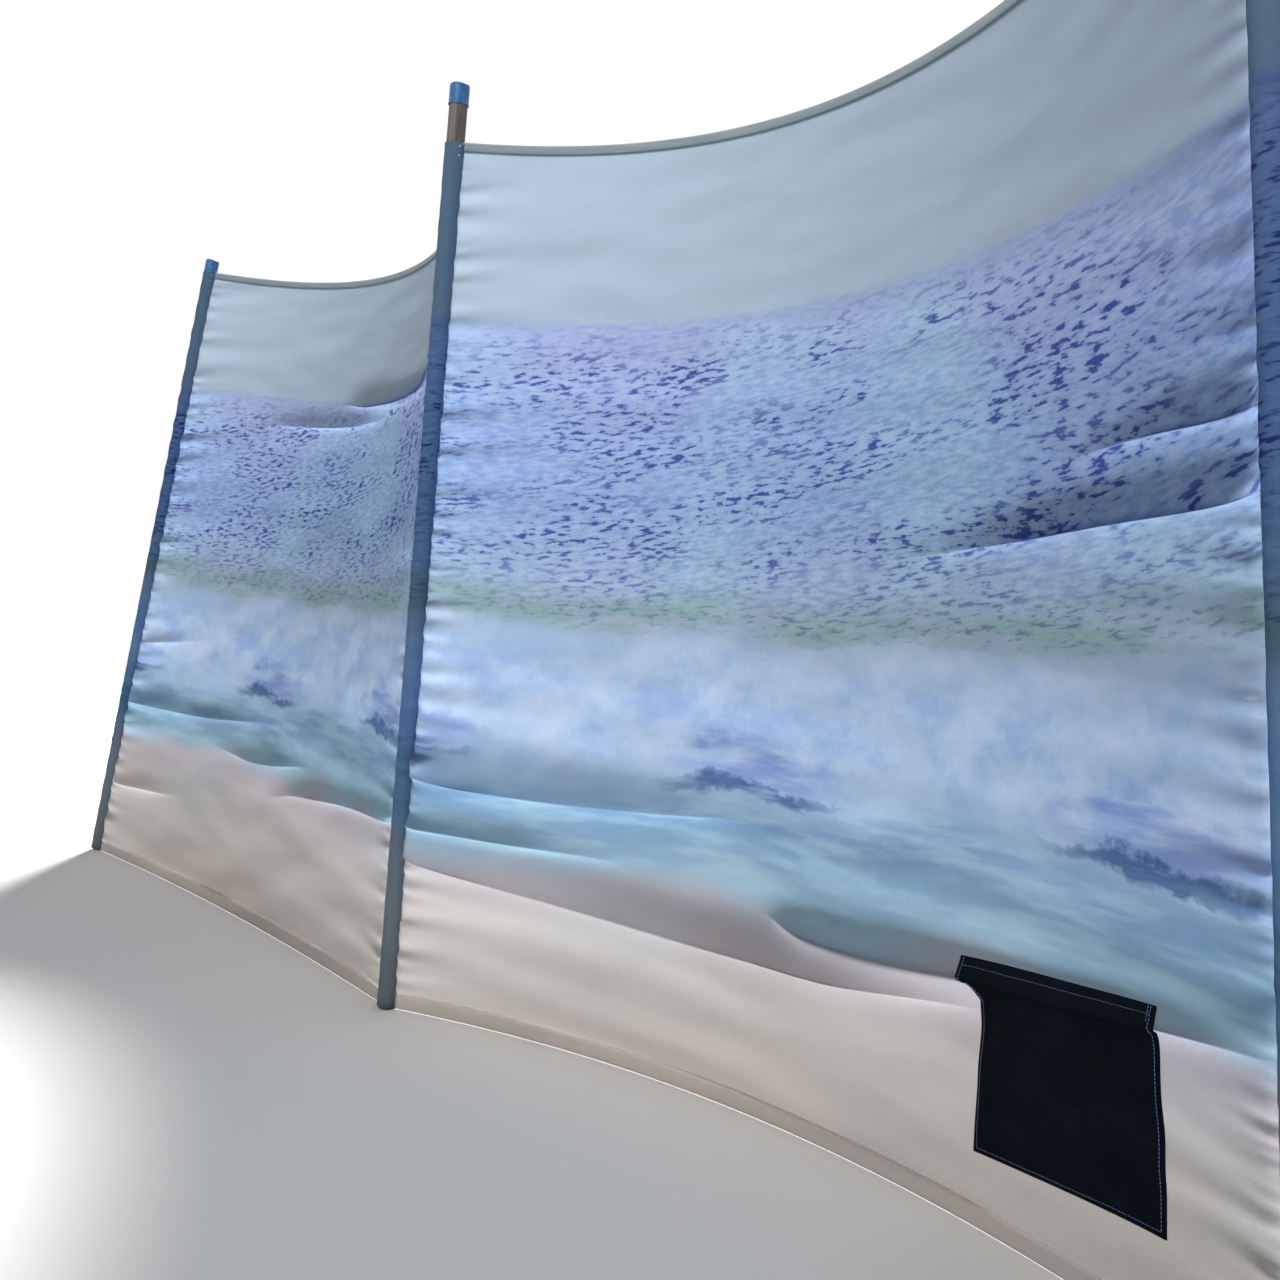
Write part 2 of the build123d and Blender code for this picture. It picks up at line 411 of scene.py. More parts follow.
def sweep(path, side, rise, profile):
    """A profile carried along a path: each point is path + x * side + y * rise."""
    offsets = profile[None, :, 0:1] * side[:, None] + profile[None, :, 1:2] * rise[:, None]
    return path[:, None] + offsets


def put(piece, slot, *nodes):
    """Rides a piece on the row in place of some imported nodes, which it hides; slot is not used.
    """
    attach(piece, "root")
    if nodes:
        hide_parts(*nodes)


# Materials

def colour(code):
    """An sRGB hex colour as linear red, green, blue and alpha."""
    channels = [int(code[i:i + 2], 16) / 255 for i in (1, 3, 5)]
    linear = [c / 12.92 if c <= 0.04045 else ((c + 0.055) / 1.055) ** 2.4 for c in channels]
    return (*linear, 1.0)


def add(tree, kind, inputs=(), out=0, stops=(), **settings):
    """Adds a node and gives back one of its outputs.

    inputs are values or links, in the order of the node's sockets or by socket.
    settings are the node's own values, and stops the (place, colour code) pairs
    of a colour ramp.
    """
    node = tree.nodes.new(kind)
    for key, value in settings.items():
        setattr(node, key, value)
    for key, value in inputs.items() if isinstance(inputs, dict) else enumerate(inputs):
        if isinstance(value, bpy.types.NodeSocket):
            tree.links.new(value, node.inputs[key])
        else:
            node.inputs[key].default_value = value
    if stops:
        elements = node.color_ramp.elements
        while len(elements) < len(stops):
            elements.new(0.5)
        for element, (place, code) in zip(elements, stops):
            element.position = place
            element.color = colour(code)
    return node.outputs[out] if node.outputs else node


COORDINATES, SEPARATE = "ShaderNodeTexCoord", "ShaderNodeSeparateXYZ"
MAPPING, NOISE, RAMP = "ShaderNodeMapping", "ShaderNodeTexNoise", "ShaderNodeValToRGB"
MATH, MIX, BUMP = "ShaderNodeMath", "ShaderNodeMix", "ShaderNodeBump"
PRINCIPLED, TRANSLUCENT = "ShaderNodeBsdfPrincipled", "ShaderNodeBsdfTranslucent"
MIX_SHADERS, SURFACE = "ShaderNodeMixShader", "ShaderNodeOutputMaterial"
COLOURS = {"out": 2, "data_type": "RGBA"}   # of a mix: 0 is its share, 6 and 7 its colours
TIMES = {"operation": "MULTIPLY"}
PLUS = {"operation": "ADD"}
TIMES_PLUS = {"operation": "MULTIPLY_ADD"}
CLIPPED = {"operation": "MULTIPLY_ADD", "use_clamp": True}


def new_material(name):
    """An empty material and its node tree."""
    material = bpy.data.materials.new(name)
    material.use_nodes = True
    material.node_tree.nodes.clear()
    return material, material.node_tree


def ribs(tree, place, spacing):
    """The height of ribs: a sine that goes once round in each spacing."""
    turns = add(tree, MATH, (place, 2 * math.pi / spacing), **TIMES)
    return add(tree, MATH, (turns,), operation="SINE")


def woven(tree, uv, spacing):
    """The height of a plain weave: the ribs across times the ribs up."""
    warp = ribs(tree, add(tree, SEPARATE, (uv,)), spacing)
    weft = ribs(tree, add(tree, SEPARATE, (uv,), out=1), spacing)
    return add(tree, MATH, (warp, weft), **TIMES)


def patches(tree, uv, wide, tall, detail, shift, rough=0.58, turn=0.0):
    """Soft patches from 0 to 1, so wide and tall in metres on the cloth.

    shift picks another stretch of the noise, and turn tilts the patches.
    """
    place = add(tree, MAPPING, {0: uv, "Location": (shift, shift, 0), "Rotation": (0, 0, turn),
                                "Scale": (wide, tall, 1)}, vector_type="TEXTURE")
    return add(tree, NOISE, {"Vector": place, "Scale": 1.0, "Detail": detail,
                             "Roughness": rough}, noise_dimensions="2D")


def rising(tree, value, middle, width):
    """0 to 1 as a value passes its middle: (value - middle) / width + 0.5, clipped.

    A negative width makes it fall.
    """
    return add(tree, MATH, (value, 1 / width, 0.5 - middle / width), **CLIPPED)


def both(tree, *masks):
    """The product of some masks."""
    product = masks[0]
    for mask in masks[1:]:
        product = add(tree, MATH, (product, mask), **TIMES)
    return product


def inked(tree, under, code, *masks):
    """A colour printed over what is there, as strongly as the masks' product."""
    return add(tree, MIX, {0: both(tree, *masks), 6: under, 7: colour(code)}, **COLOURS)


# The wash's colours, from the hem (0) to the top edge (1)
WASH = [
    (0.000, "#AFA9A3"), (0.120, "#C2C0BF"), (0.214, "#B8B7C4"), (0.242, "#96B6CB"),
    (0.288, "#7A9CBE"), (0.328, "#A3BEDE"), (0.400, "#A2BDDF"), (0.455, "#9BB1CC"),
    (0.490, "#8C9EAC"), (0.535, "#8BA5C4"), (0.610, "#7C99C4"), (0.700, "#86A0CD"),
    (0.790, "#97A7CE"), (0.804, "#98A8CA"), (0.808, "#A2B1C2"), (1.000, "#A5B5C5"),
]


def print_level(tree, uv, broad, streaks):
    """How far up its print a place lies, from 0 to 1, so that the ribbons' edges wander.

    It is the height plus broad patches of 80 mm and streaks of 20 mm about their
    means, both of which calm down to nothing towards the top.
    """
    up = add(tree, SEPARATE, (uv,), out=1)
    calm = add(tree, MATH, (up, -1.35, 1.28), **CLIPPED)
    drift = add(tree, MATH, (broad, 0.08, -0.040), **TIMES_PLUS)
    wander = add(tree, MATH, (drift, calm, up), **TIMES_PLUS)
    frayed = add(tree, MATH, (streaks, 0.020, -0.010), **TIMES_PLUS)
    level = add(tree, MATH, (wander, add(tree, MATH, (frayed, calm), **TIMES)), **PLUS)
    return add(tree, MATH, (level, 1 / CLOTH_CUT), **TIMES)


def lens(tree, stretch, level, middle, tall):
    """1 in the middle of each stretch of a ribbon that tapers to both its ends.

    It is the stretch's sine less the square of (level - middle) / tall.
    """
    away = add(tree, MATH, (level, 1 / tall, -middle / tall), **TIMES_PLUS)
    away = add(tree, MATH, (away, away), **TIMES)
    inside = add(tree, MATH, (stretch, away), operation="SUBTRACT")
    return rising(tree, inside, 0.24, 0.8)


def seaside_wash(tree, uv, cloud):
    """The printed colours: soft wavy ribbons with torn edges and broken strokes.

    From the hem up they are sand, turquoise, pale foam, a green streak, a lilac
    sea and a grey sky. A ribbon's mask is the product of a rise and a fall of
    the level, and each colour goes over the last by its masks' product.
    """
    # streaks of 150 x 22 mm, patches of 340 x 300, strokes of 23 x 5 and rafts
    # of 210 x 60, as such prints have them
    streaks = patches(tree, uv, 0.15, 0.022, 3.0, 6.0, 0.62)
    broad = patches(tree, uv, 0.34, 0.30, 1.0, 3.1)
    grain = patches(tree, uv, 0.023, 0.0052, 2.0, 7.7, 0.62, 0.10)
    rafts = patches(tree, uv, 0.21, 0.060, 1.0, 2.3, turn=0.20)
    level = print_level(tree, uv, broad, streaks)
    base = add(tree, RAMP, (level,), stops=WASH)
    water = both(tree, rising(tree, level, 0.50, 0.06), rising(tree, level, 0.795, -0.05))
    foam = both(tree, rising(tree, level, 0.330, 0.05), rising(tree, level, 0.462, -0.10))

    # the lilac part drifts between violet and pale blue
    base = inked(tree, base, "#A19FC8", water, rising(tree, broad, 0.58, 0.26), 0.18)
    base = inked(tree, base, "#9ABFD6", water, rising(tree, broad, 0.44, -0.26), 0.42)

    # feathered pale and blue clouds in the foam part
    base = inked(tree, base, "#CCD6EC", foam, rising(tree, cloud, 0.53, 0.28), 0.54)
    base = inked(tree, base, "#8AA8DC", foam, rising(tree, cloud, 0.42, -0.18), 0.40)

    # violet spray above a torn dark ribbon, in stretches 570 mm apart under the
    # foam, and soft green streaks above the foam
    around = add(tree, MATH, (add(tree, SEPARATE, (uv,)), 2 * math.pi / 0.57, 1.9), **TIMES_PLUS)
    stretch = add(tree, MATH, (around,), operation="SINE")
    ragged = add(tree, MATH, (cloud, 0.044, level), **TIMES_PLUS)
    spray = lens(tree, stretch, ragged, 0.374, 0.024)
    base = inked(tree, base, "#6C84C4", spray, rising(tree, streaks, 0.46, 0.26), 0.66)
    ribbon = lens(tree, stretch, ragged, 0.350, 0.0100)
    base = inked(tree, base, "#2F5690", ribbon, rising(tree, streaks, 0.38, 0.26), 0.88)
    weed = both(tree, rising(tree, level, 0.478, 0.02), rising(tree, level, 0.512, -0.03))
    base = inked(tree, base, "#789C94", weed, rising(tree, streaks, 0.49, 0.14), 0.62)
    base = inked(tree, base, "#4D6676", weed, rising(tree, grain, 0.63, 0.07), 0.50)

    # pale and deep streaks along the shore, and warm patches on the sand
    shore = both(tree, rising(tree, level, 0.232, 0.03), rising(tree, level, 0.326, -0.03))
    base = inked(tree, base, "#B0D4DE", shore, rising(tree, streaks, 0.57, 0.24), 0.42)
    base = inked(tree, base, "#678FAC", shore, rising(tree, streaks, 0.43, -0.22), 0.28)
    sand = rising(tree, level, 0.216, -0.03)
    base = inked(tree, base, "#CBB9A8", sand, rising(tree, broad, 0.52, 0.30), 0.22)

    # broken dark strokes: ink where the fine grain is high, in loose rows, with
    # a pale stroke where it is low
    rows = add(tree, MATH, (streaks, 0.36, grain), **TIMES_PLUS)
    herd = add(tree, MATH, (broad, 0.5, rafts), **TIMES_PLUS)
    crowd = rising(tree, herd, 0.73, 0.20)
    base = inked(tree, base, "#C9D6EC", water, rising(tree, grain, 0.40, -0.36), 0.34)
    base = inked(tree, base, "#7587BC", water, rising(tree, rows, 0.75, 0.18), 0.34)
    fading = add(tree, MATH, (rising(tree, level, 0.520, 0.10), 0.86), **TIMES)
    base = inked(tree, base, "#2E3A8C", fading, rising(tree, level, 0.782, -0.05), crowd,
                 rising(tree, rows, 0.782, 0.080))
    return base


def printed_polyester(name, doubling_and_sky_tint="#FFFFFF", clear=0.85, thinned=0.5):
    """Thin plain-woven polyester with a seaside colour wash printed through it.

    Light comes through the cloth, so a fold or a second layer shows darker.
    The doubling colour darkens cloth that lies double, as its ink doubles, and
    gives it a painted sky-blue tint that stands in for skylight. clear is the
    share of light that a skin lets through, and thinned the power of the ink's
    colour that this light takes on.
    """
    material, tree = new_material(name)
    uv = add(tree, COORDINATES, out="UV")
    cloud = patches(tree, uv, 0.13, 0.085, 5.0, 5.0, 0.74)
    base = seaside_wash(tree, uv, cloud)

    # the threads take ink unevenly, drawn 1.1 mm wide and 17 mm long so that it shows
    slub = patches(tree, uv, 0.0011, 0.017, 0.0, 0.0)
    tone = add(tree, MATH, (slub, 0.10, 0.92), **TIMES_PLUS)
    tone = add(tree, MATH, (cloud, 0.06, tone), **TIMES_PLUS)
    grey = add(tree, "ShaderNodeCombineColor", (tone, tone, tone))
    base = add(tree, MIX, {0: 1.0, 6: base, 7: grey}, blend_type="MULTIPLY", **COLOURS)
    # cloth that lies double: the doubled ink, and a painted sky-blue tint that stands in for
    # skylight
    if doubling_and_sky_tint != "#FFFFFF":
        sky_tinted = {0: 1.0, 6: base, 7: colour(doubling_and_sky_tint)}
        base = add(tree, MIX, sky_tinted, blend_type="MULTIPLY", **COLOURS)

    # the weave, drawn at 1.4 mm so that it still shows, and soft handling creases
    # of 110 x 40 mm
    crush = add(tree, MATH, (patches(tree, uv, 0.11, 0.040, 0.0, 11.0), 4.0), **TIMES)
    height = add(tree, MATH, (woven(tree, uv, 0.0014), 0.12, crush), **TIMES_PLUS)
    lift = add(tree, BUMP, {"Height": height, "Distance": 0.0004})
    front = add(tree, PRINCIPLED, {"Base Color": base, "Roughness": 0.72,
                                   "Specular IOR Level": 0.25, "Normal": lift})
    part_ink = add(tree, "ShaderNodeGamma", (base, thinned))
    lit = add(tree, TRANSLUCENT, {"Color": part_ink, "Normal": lift})
    add(tree, SURFACE, (add(tree, MIX_SHADERS, (clear, front, lit)),))
    return material


def bias_tape():
    """Woven polyester tape folded over the edge: fine ribs, and light shows through it.

    Above its middle it is painted paler: painted light for what shines
    through where only one layer of cloth lies in it. Its worn patches are
    70 x 4 mm, and its ribs are drawn at 1.3 mm so that they show.
    """
    material, tree = new_material("bias_tape_woven")
    uv = add(tree, COORDINATES, out="UV")
    along = add(tree, SEPARATE, (uv,))
    up = add(tree, SEPARATE, (uv,), out=1)
    place = add(tree, MAPPING, {0: uv, "Scale": (14.0, 260.0, 1)})
    wear = add(tree, NOISE, {"Vector": place, "Scale": 1.0, "Detail": 3.0}, noise_dimensions="2D")
    greens = [(0.30, "#9CBECC"), (0.55, "#ACCCD8"), (0.75, "#BED6E0")]
    # painted light: the paler greys above the middle stand for light shining through a single layer
    painted_light_greys = [(0.30, "#BECDD4"), (0.55, "#CCD8DE"), (0.75, "#DAE2E4")]
    deep = add(tree, RAMP, (wear,), stops=greens)
    pale = add(tree, RAMP, (wear,), stops=painted_light_greys)
    # the share that is painted paler, from the tape's middle up
    upper = rising(tree, up, -0.0055, 0.0030)
    base = add(tree, MIX, {0: upper, 6: deep, 7: pale}, **COLOURS)
    lift = add(tree, BUMP, {"Height": ribs(tree, along, 0.0013), "Distance": 0.00015})
    front = add(tree, PRINCIPLED, {"Base Color": base, "Roughness": 0.78, "Sheen Weight": 0.2,
                                   "Normal": lift})
    lit = add(tree, TRANSLUCENT, (add(tree, "ShaderNodeGamma", (base, 0.5)),))
    add(tree, SURFACE, (add(tree, MIX_SHADERS, (0.40, front, lit)),))
    return material


def pine_dowel():
    """Planed softwood: long pale and brown grain along the pole, greyed by the weather.

    The grain's lines are about 2.4 mm wide and 110 mm long.
    """
    material, tree = new_material("pine_dowel_weathered")
    uv = add(tree, COORDINATES, out="UV")
    place = add(tree, MAPPING, {0: uv, "Scale": (420.0, 9.0, 1)})
    grain = add(tree, NOISE, {"Vector": place, "Scale": 1.0, "Detail": 5.0, "Distortion": 0.8},
                noise_dimensions="2D")
    browns = [(0.30, "#524C48"), (0.50, "#726963"), (0.70, "#8C8279")]
    base = add(tree, RAMP, (grain,), stops=browns)
    lift = add(tree, BUMP, {"Height": grain, "Distance": 0.0004})
    add(tree, SURFACE, (add(tree, PRINCIPLED, {
        "Base Color": base, "Roughness": 0.62, "Normal": lift}),))
    return material


def moulded_cap():
    """Moulded polypropylene: even sky blue, softly glossy, with dull scuffs of 6 mm."""
    material, tree = new_material("polypropylene_moulded")
    place = add(tree, COORDINATES, out="Object")
    scuff = add(tree, NOISE, {"Vector": place, "Scale": 160.0, "Detail": 6.0})
    blues = [(0.35, "#26639F"), (0.60, "#3478B6"), (0.75, "#5C9DD4")]
    base = add(tree, RAMP, (scuff,), stops=blues)
    gloss = add(tree, MATH, (scuff, 0.35, 0.24), **TIMES_PLUS)
    lift = add(tree, BUMP, {"Height": scuff, "Distance": 0.0002})
    add(tree, SURFACE, (add(tree, PRINCIPLED, {
        "Base Color": base, "Roughness": gloss, "Normal": lift}),))
    return material


def coated_nylon():
    """Black oxford nylon with a thin coating: a basket weave and next to no sheen.

    The weave is drawn at 1.8 mm so that it shows, and dust lies in 45 mm patches.
    """
    material, tree = new_material("oxford_nylon_black")
    uv = add(tree, COORDINATES, out="UV")
    dust = add(tree, NOISE, {"Vector": uv, "Scale": 22.0, "Detail": 5.0}, noise_dimensions="2D")
    blacks = [(0.30, "#020710"), (0.60, "#040B18"), (0.80, "#0B1524")]
    base = add(tree, RAMP, (dust,), stops=blacks)
    lift = add(tree, BUMP, {"Height": woven(tree, uv, 0.0018), "Distance": 0.0003})
    add(tree, SURFACE, (add(tree, PRINCIPLED, {
        "Base Color": base, "Roughness": 0.66, "Specular IOR Level": 0.06, "Normal": lift}),))
    return material


def sewing_thread(name, dark, light):
    """Spun polyester thread: a little mottled by its twist, every 1.1 mm."""
    material, tree = new_material(name)
    place = add(tree, COORDINATES, out="Object")
    twist = add(tree, NOISE, {"Vector": place, "Scale": 900.0, "Detail": 2.0})
    base = add(tree, RAMP, (twist,), stops=[(0.35, dark), (0.65, light)])
    add(tree, SURFACE, (add(tree, PRINCIPLED, {"Base Color": base, "Roughness": 0.5}),))
    return material


PRINT = printed_polyester("polyester_printed")
# the sleeves' cloth: darker because its ink doubles, and bluer by a painted tint of skylight
PRINT_DOUBLED = printed_polyester("polyester_printed_doubled", "#CFEAFF", clear=0.55)
PRINT_HEM = printed_polyester("polyester_printed_hem", clear=0.975, thinned=0.04)
TAPE = bias_tape()
WOOD = pine_dowel()
PLASTIC = moulded_cap()
NYLON = coated_nylon()
THREAD = sewing_thread("polyester_thread_pale", "#B4C4D8", "#DCE5EE")
THREAD_SLATE = sewing_thread("polyester_thread_slate", "#4A6184", "#6E88AE")


# The bays

def stitches(name, path, outward, depth, pitch=0.0042, length=0.0029, width=0.0007,
             thread=THREAD):
    """A row of stitches along a path, one in each pitch.

    Each is a spindle of three square rings, 0.35, 1 and 0.35 of its full width
    and depth. It is centred on the path, so that a row sewn through one layer
    shows on both its faces.
    """
    walked = walked_along(path)
    count = int(walked[-1] / pitch)
    middles = (np.arange(count) + 0.5) * (walked[-1] / count)
    centre = np.stack([np.interp(middles, walked, path[:, k]) for k in range(3)], 1)
    out = unit(np.stack([np.interp(middles, walked, outward[:, k]) for k in range(3)], 1))
    way = unit(np.gradient(centre, axis=0))
    side = unit(np.cross(way, out))
    reach = np.array([-0.5, 0.0, 0.5]) * length
    girth = np.array([0.35, 1.0, 0.35]) / 2
    square = np.array([[1, 0], [0, 1], [-1, 0], [0, -1]])
    ring = (square[:, 0, None] * width * side[:, None] + square[:, 1, None] * depth * out[:, None])
    points = (centre[:, None, None] + reach[:, None, None] * way[:, None, None]
              + girth[:, None, None] * ring[:, None])
    row, column = np.meshgrid(np.arange(2), np.arange(4), indexing="ij")
    after = (column + 1) % 4
    quads = np.stack([row * 4 + column, row * 4 + after,
                      row * 4 + 4 + after, row * 4 + 4 + column], -1).reshape(-1, 4)
    quads = np.concatenate([quads, [[3, 2, 1, 0], [8, 9, 10, 11]]])
    faces = (quads + 12 * np.arange(count)[:, None, None]).reshape(-1, 4)
    mesh = bpy.data.meshes.new(name)
    mesh.from_pydata(points.reshape(-1, 3), [], faces.tolist())
    mesh.materials.append(thread)
    piece = in_scene(name, mesh)
    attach(piece, "root")
    return piece


def bay_frame(bay, across, height):
    """Points on a bay's cloth with their directions across, up and to the front.

    The first two are the surface's differences over a small step either way, and
    the third their cross product.
    """
    step = 0.002
    here = bay_surface(bay, across, height)
    right = bay_surface(bay, across + step, height) - bay_surface(bay, across - step, height)
    rise = bay_surface(bay, across, height + step) - bay_surface(bay, across, height - step)
    right, rise = unit(right), unit(rise)
    return here, right, rise, unit(np.cross(right, rise))


def make_bay(bay):
    """A bay's printed cloth. Its rows follow the fold lines and crowd round them.

    A sine moves even steps towards both ends, of the bay for the columns, and of
    each band between two lines for the rows. For the columns it is times a
    squared cosine, which leaves the bay's middle even. A band gets rows by its
    height to the power of 0.8.
    """
    near = bay <= 2                # the camera stands close to these two
    columns, rows = ((124, 390) if near else (100, 256)) if fine else (90, 200)
    share = np.linspace(0, 1, columns)
    share = share - 0.82 * np.sin(2 * np.pi * share) / (2 * np.pi) * np.cos(np.pi * share) ** 2
    lines = [np.full(columns, HEM_LIFT)]
    lines += [through(knots, share) for knots, _ in FOLDS[bay]]
    lines += [top_edge(bay, share)]
    lines = np.array(lines)
    room = np.diff(lines, axis=0).mean(1) ** 0.8
    counts = np.maximum(4, np.round(rows * room / room.sum()).astype(int))
    # the cloth ends inside the tape
    lines[-1] -= 0.005
    heights = []
    for low, high, count in zip(lines, lines[1:], counts):
        step = np.linspace(0, 1, count + 1)
        step = step - 0.6 * np.sin(2 * np.pi * step) / (2 * np.pi)
        heights.append(low + step[:-1, None] * (high - low))
    height = np.concatenate([*heights, lines[-1:]])
    across = np.broadcast_to(share, height.shape)
    points = bay_surface(bay, across, height)
    printed = height / top_edge(bay, across) * CLOTH_CUT + tucked(bay, across, height)
    uv = np.stack([across * PRINT_WIDTH, printed], -1)
    cloth = surface(f"bay_cloth_{bay}", points, uv, PRINT)
    thicken(cloth, CLOTH_THICK)
    put(cloth, "printed_cloth", f"panel_{bay}")
    for side, inset in enumerate((SEAM_INSET, 1 - SEAM_INSET)):
        level = np.linspace(0.008, LINES[bay + side][2] - 0.012, 600 if fine else 200)
        path, _, _, front = bay_frame(bay, np.full_like(level, inset), level)
        stitches(f"seam_stitches_{bay}_{side + 1}", path, front, depth=0.0017)


def folded_strip(name, bay, across, height, turn, depth, room, wall, material):
    """A strip of cloth folded over a line on the bay: a U profile swept along it.

    turn is +1 where the open side looks down and -1 where it looks up. The legs
    are as long as depth, room is half the space between them, and wall the
    strip's thickness. A tape's pattern starts at its fold, a hem's at the ground.
    """
    path, _, rise, front = bay_frame(bay, across, height)
    bend = np.linspace(0, np.pi, 9)
    outer = np.stack([np.cos(bend), np.sin(bend)], 1) * (room + wall)
    inner = np.stack([np.cos(bend[::-1]), np.sin(bend[::-1])], 1) * room
    legs = np.linspace(-depth, 0, 5)[:-1, None]
    near = np.concatenate([np.full_like(legs, room + wall), legs], 1)
    far = np.concatenate([np.full_like(legs, -room - wall), legs[::-1]], 1)
    back = np.concatenate([np.full_like(legs, -room), legs], 1)
    home = np.concatenate([np.full_like(legs, room), legs[::-1]], 1)
    profile = np.concatenate([near, outer, far, back, inner, home])
    profile[:, 1] *= turn
    points = sweep(path, front, rise, profile)
    walked = walked_along(path)
    closed = np.concatenate([profile, profile[:1]])
    level = (0 if material == TAPE else height[:, None]) + closed[None, :, 1]
    uv = np.stack(np.broadcast_arrays(walked[:, None], level), -1)
    if turn > 0:
        points, uv = points[:, ::-1], uv[:, ::-1]
    return surface(name, points, uv, material, wrap=True, caps=True)


def make_edges(bay):
    """The tape over the bay's top edge and the hem turned up at its foot."""
    across = np.linspace(0, 1, 160 if fine else 80)
    tape = folded_strip(f"edge_binding_{bay}", bay, across, top_edge(bay, across), turn=1,
                        depth=BINDING_WIDTH, room=0.0009, wall=0.0008, material=TAPE)
    put(tape, "binding_tape", f"top_binding_{bay}")
    path, _, _, front = bay_frame(bay, across, top_edge(bay, across) - BINDING_WIDTH + 0.0022)
    skin = 0.0017                  # from the middle of the cloth to the tape's outside
    rows = [stitches(f"binding_stitches_{bay}_{side}", path + shift * front, front, depth=0.0009)
            for side, shift in (("front", skin), ("back", -skin))]
    for side, inset in (("left", TACK_INSET), ("right", 1 - TACK_INSET)):
        level = top_edge(bay, inset) - np.linspace(BINDING_WIDTH - 0.001, 0.001, 12)
        path, _, _, front = bay_frame(bay, np.full_like(level, inset), level)
        rows.append(stitches(f"bar_tack_{bay}_{side}", path + skin * front, front, depth=0.0010,
                             pitch=0.0014, length=0.0012, width=0.0024))
    ground = np.full_like(across, HEM_LIFT)
    hem = folded_strip(f"turned_hem_{bay}", bay, across, ground, turn=-1,
                       depth=HEM_WIDTH, room=0.0004, wall=0.0003, material=PRINT_HEM)
    put(hem, "printed_cloth", f"bottom_hem_{bay}")


# The poles

def make_sleeve(pole):
    """The cloth tube round a pole: a circle that swells, pinches and creases along it.

    A crease is a raised roll 8 mm over a pinch, each a bell across its height,
    that winds round the pole by a sine. The tube's hemmed top stands 0.5 mm
    wider.
    """
    _, rise, top = LINES[pole]
    rows, sides = (160, 32) if fine else (90, 24)
    height = np.linspace(SLEEVE_LIFT, top, rows)
    turn = np.linspace(0, 2 * np.pi, sides + 1)
    level, angle = np.meshgrid(height, turn[:-1], indexing="ij")
    crinkle = waves((angle * SLEEVE_RADIUS, level), 8, seed=90 + pole, low=0.02, high=0.07,
                    stretch=(2.0, 0.7))
    radius = SLEEVE_RADIUS + 0.0003 * crinkle
    random = np.random.default_rng(40 + pole)
    for middle in [*random.uniform(0.1, 1.1, 5), *SLEEVE_CREASES]:
        winding = middle + random.uniform(0.002, 0.006) * np.sin(angle + random.uniform(0, 6.28))
        size = random.uniform(0.4, 0.9)
        roll, pinch = bump(level, winding, 0.005), bump(level, winding - 0.008, 0.005)
        radius += size * (0.0011 * roll - 0.0008 * pinch)
    radius += 0.0005 * smooth_step(level, top - 0.011, top - 0.009)
    axis = on_pole(pole, height)
    up = unit(rise)
    side = -unit(np.cross(up, (0, 1, 0)))
    front = np.cross(up, side)
    ring = np.cos(angle)[..., None] * side + np.sin(angle)[..., None] * front
    points = axis[:, None] + radius[..., None] * ring
    # each sleeve is cut from another stretch of the print
    uv = np.stack(np.meshgrid(turn * SLEEVE_RADIUS + 0.3 * pole,
                              height / top * CLOTH_CUT), -1)
    tube = surface(f"sleeve_cloth_{pole}", points, uv, PRINT_DOUBLED, wrap=True)
    thicken(tube, SLEEVE_WALL, offset=-1.0)
    put(tube, "sleeve_cloth", f"sleeve_{pole}")
    level = top - np.linspace(0.0225, -0.0015, 3)   # two tacks beside each seam's upper end
    for name, turned_by in (("right", -0.2), ("left", math.pi + 0.2)):
        out = np.cos(turned_by) * side + np.sin(turned_by) * front
        path = on_pole(pole, level) + (SLEEVE_RADIUS + 0.0006) * out
        stitches(f"sleeve_tacks_{pole}_{name}", path, np.tile(out, (3, 1)),
                              depth=0.0016, pitch=0.012, length=0.0030, width=0.0030)


def turned(name, base, up, profile, sides, material):
    """A turned solid: a (radius, height) profile carried round an axis.

    Each point is base + radius * (cos * side + sin * other) + height * up.
    """
    turn = np.linspace(0, 2 * np.pi, sides + 1)
    side = unit(np.cross(up, (0, 1, 0)))
    other = np.cross(up, side)
    ring = np.cos(turn[:-1])[None, :, None] * side + np.sin(turn[:-1])[None, :, None] * other
    radius, height = np.array(profile, float).T
    points = base + radius[:, None, None] * ring + height[:, None, None] * up
    uv = np.stack(np.meshgrid(turn * WOOD_RADIUS, height), -1)
    return surface(name, points, uv, material, wrap=True, caps=True)


def make_pole(pole):
    """A dowel up to its cap, and the moulded cap with its rounded crown and bead."""
    foot, rise, _ = LINES[pole]
    up = unit(rise)
    head = ring_centre(f"pole_{pole}", 1.0, 2.0)
    length = np.linalg.norm(head - foot)
    # the whole of its lowest ring is above the ground
    heights = np.linspace(WOOD_RADIUS * np.tan(np.arccos(up[2])), length, 60)
    wood = turned(f"dowel_{pole}", foot, up, [(WOOD_RADIUS, h) for h in heights], 48, WOOD)
    put(wood, "pole_wood", f"pole_{pole}")
    crown = head + up * CAP_ROOF
    edge = [(CAP_RADIUS - CAP_ROUNDING + CAP_ROUNDING * np.sin(bend),
             -CAP_ROUNDING + CAP_ROUNDING * np.cos(bend)) for bend in np.linspace(0, np.pi / 2, 7)]
    # it starts and ends 0.4 mm from the axis, where a small flat face closes it
    profile = [(0.0004, 0.0), (0.006, 0.0), *edge, *CAP_OUTSIDE, *CAP_INSIDE]
    cap = turned(f"end_cap_{pole}", crown, up, profile[::-1], 72, PLASTIC)
    put(cap, "cap_plastic", f"pole_cap_{pole}")


# The pocket

POCKET_BAY = 2
